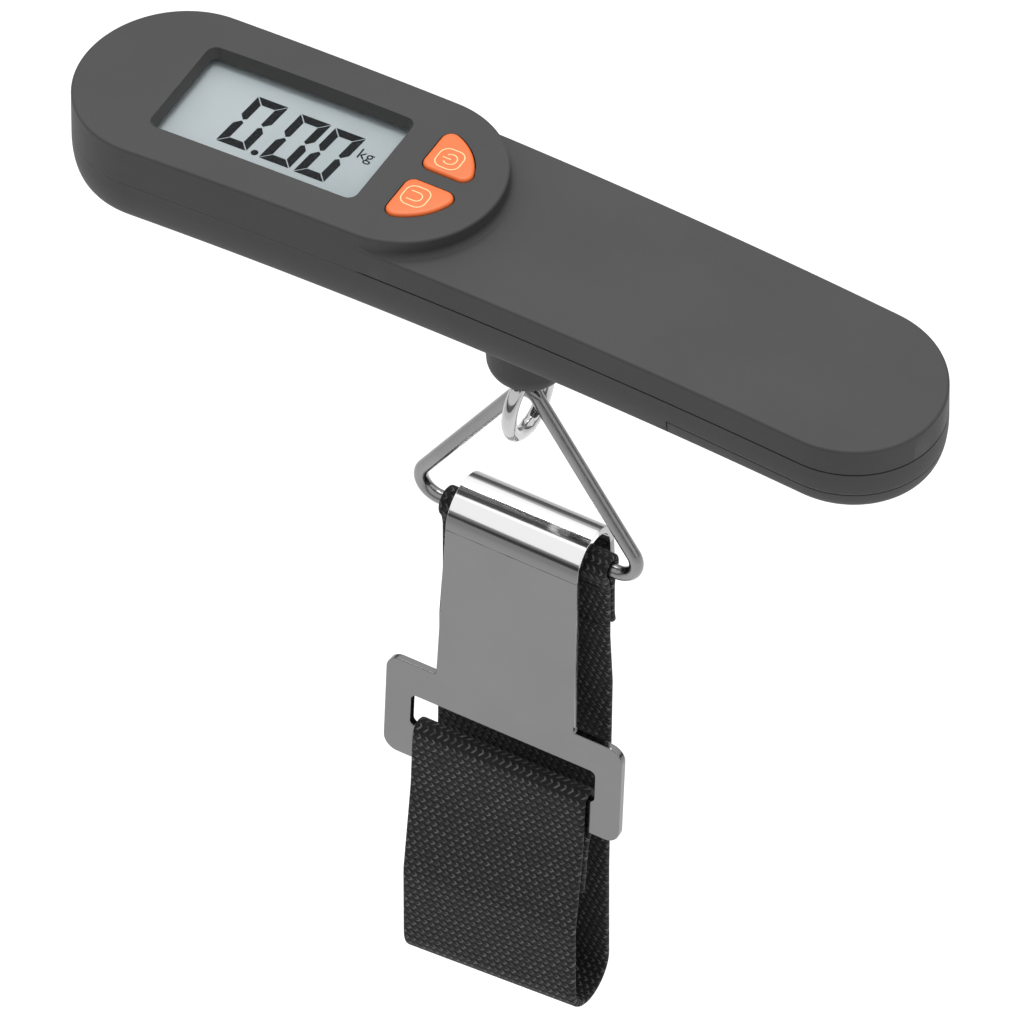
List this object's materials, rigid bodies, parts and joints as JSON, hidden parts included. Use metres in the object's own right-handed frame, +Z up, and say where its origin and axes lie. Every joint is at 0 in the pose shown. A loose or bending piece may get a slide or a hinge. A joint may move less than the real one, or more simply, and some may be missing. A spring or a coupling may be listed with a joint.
{
  "type": "digital luggage scale",
  "caption": "Hand-held digital scale: arched housing with display and two buttons, a wire eye and triangle ring on its load axis, and a looped webbing strap with a hook buckle.",
  "frame": {"origin": "on the load axis, level with the parting line of the housing, inside the hand that grips it", "axes": "+X along the housing from the display end to the handle end, +Z up out of the display, -Y towards the side with the buckle; the strap hangs down -Z"},
  "size_m": [0.156, 0.0342, 0.1676],
  "materials": {
    "housing_plastic": "fine satin moulding",
    "bushing_rubber": "matt",
    "screw_steel": "zinc plated",
    "clear_window": "clear, flat",
    "lcd": "grey-green liquid crystal panel",
    "reflector": "frosted silver film",
    "holder_plastic": "matt",
    "zebra_rubber": "matt, striped",
    "board_green": "solder mask",
    "chip_black": "epoxy blob",
    "component_ceramic": "matt",
    "switch_black": "matt",
    "plunger_white": "matt",
    "orange_plastic": "satin",
    "beam_aluminium": "machined",
    "gauge_film": "thin film under white sealant",
    "wire_white": "satin insulation",
    "rod_steel": "turned",
    "cell_steel": "satin",
    "contact_brass": "plated",
    "wire_red": "satin insulation",
    "wire_black": "satin insulation",
    "polished_steel": "polished",
    "satin_steel": "satin drawn wire",
    "buckle_steel": "flat satin plate with a bright rolled hook",
    "webbing": "black woven webbing with a grey fleck",
    "thread": "black bonded thread"
  },
  "bodies": {
    "housing": {"top_shell": "housing_plastic", "bottom_shell": "housing_plastic", "neck_bushing": "bushing_rubber", "housing_screws": "screw_steel", "display_lens": "clear_window", "lcd_glass": "lcd", "lcd_reflector": "reflector", "lcd_holder": "holder_plastic", "zebra_strips": "zebra_rubber", "circuit_board": "board_green", "board_screws": "screw_steel", "controller_chip": "chip_black", "board_components": "component_ceramic", "power_switch": "switch_black", "unit_switch": "switch_black", "load_cell": "beam_aluminium", "strain_gauges": "gauge_film", "load_cell_screws": "screw_steel", "load_cell_wires": "wire_white", "pull_rod": "rod_steel", "rod_nut": "screw_steel", "coin_cell": "cell_steel", "positive_contact": "contact_brass", "negative_contact": "contact_brass", "red_wire": "wire_red", "black_wire": "wire_black"},
    "power_button": {"power_button": "orange_plastic", "power_plunger": "plunger_white"},
    "unit_button": {"unit_button": "orange_plastic", "unit_plunger": "plunger_white"},
    "battery_cover": {"battery_cover": "housing_plastic"},
    "eye": {"eye": "polished_steel"},
    "ring": {"ring": "satin_steel"},
    "strap": {"strap_loop": "webbing", "strap_rear": "webbing", "strap_stitching": "thread", "strap_bend": "webbing"},
    "buckle": {"buckle": "buckle_steel", "strap_front": "webbing", "strap_tail": "webbing", "tail_stitching": "thread"}
  },
  "joints": [
    {"name": "power_button_press", "type": "slide", "parent": "housing", "child": "power_button", "axis": [0.0616, 0, -0.9981], "range_m": [0, 0.0005], "stiffness_N_per_m": 1500},
    {"name": "unit_button_press", "type": "slide", "parent": "housing", "child": "unit_button", "axis": [0.0616, 0, -0.9981], "range_m": [0, 0.0005], "stiffness_N_per_m": 1500},
    {"name": "battery_cover_slide", "type": "slide", "parent": "housing", "child": "battery_cover", "axis": [0.9977, 0, -0.0681], "range_m": [0, 0.045]},
    {"name": "eye_swing", "type": "hinge", "parent": "housing", "child": "eye", "pos_m": [0, 0, -0.027], "axis": [0, 1, 0], "range_deg": [-15, 15]},
    {"name": "ring_swing", "type": "hinge", "parent": "eye", "child": "ring", "pos_m": [0, 0, -0.031], "axis": [1, 0, 0], "range_deg": [-60, 60]},
    {"name": "strap_swing", "type": "hinge", "parent": "ring", "child": "strap", "pos_m": [0, 0, -0.0642], "axis": [1, 0, 0], "range_deg": [-75, 75]},
    {"name": "buckle_lift", "type": "slide", "parent": "strap", "child": "buckle", "axis": [0, 0, 1], "range_m": [0, 0.006], "deforming": ["strap_bend"]}
  ]
}
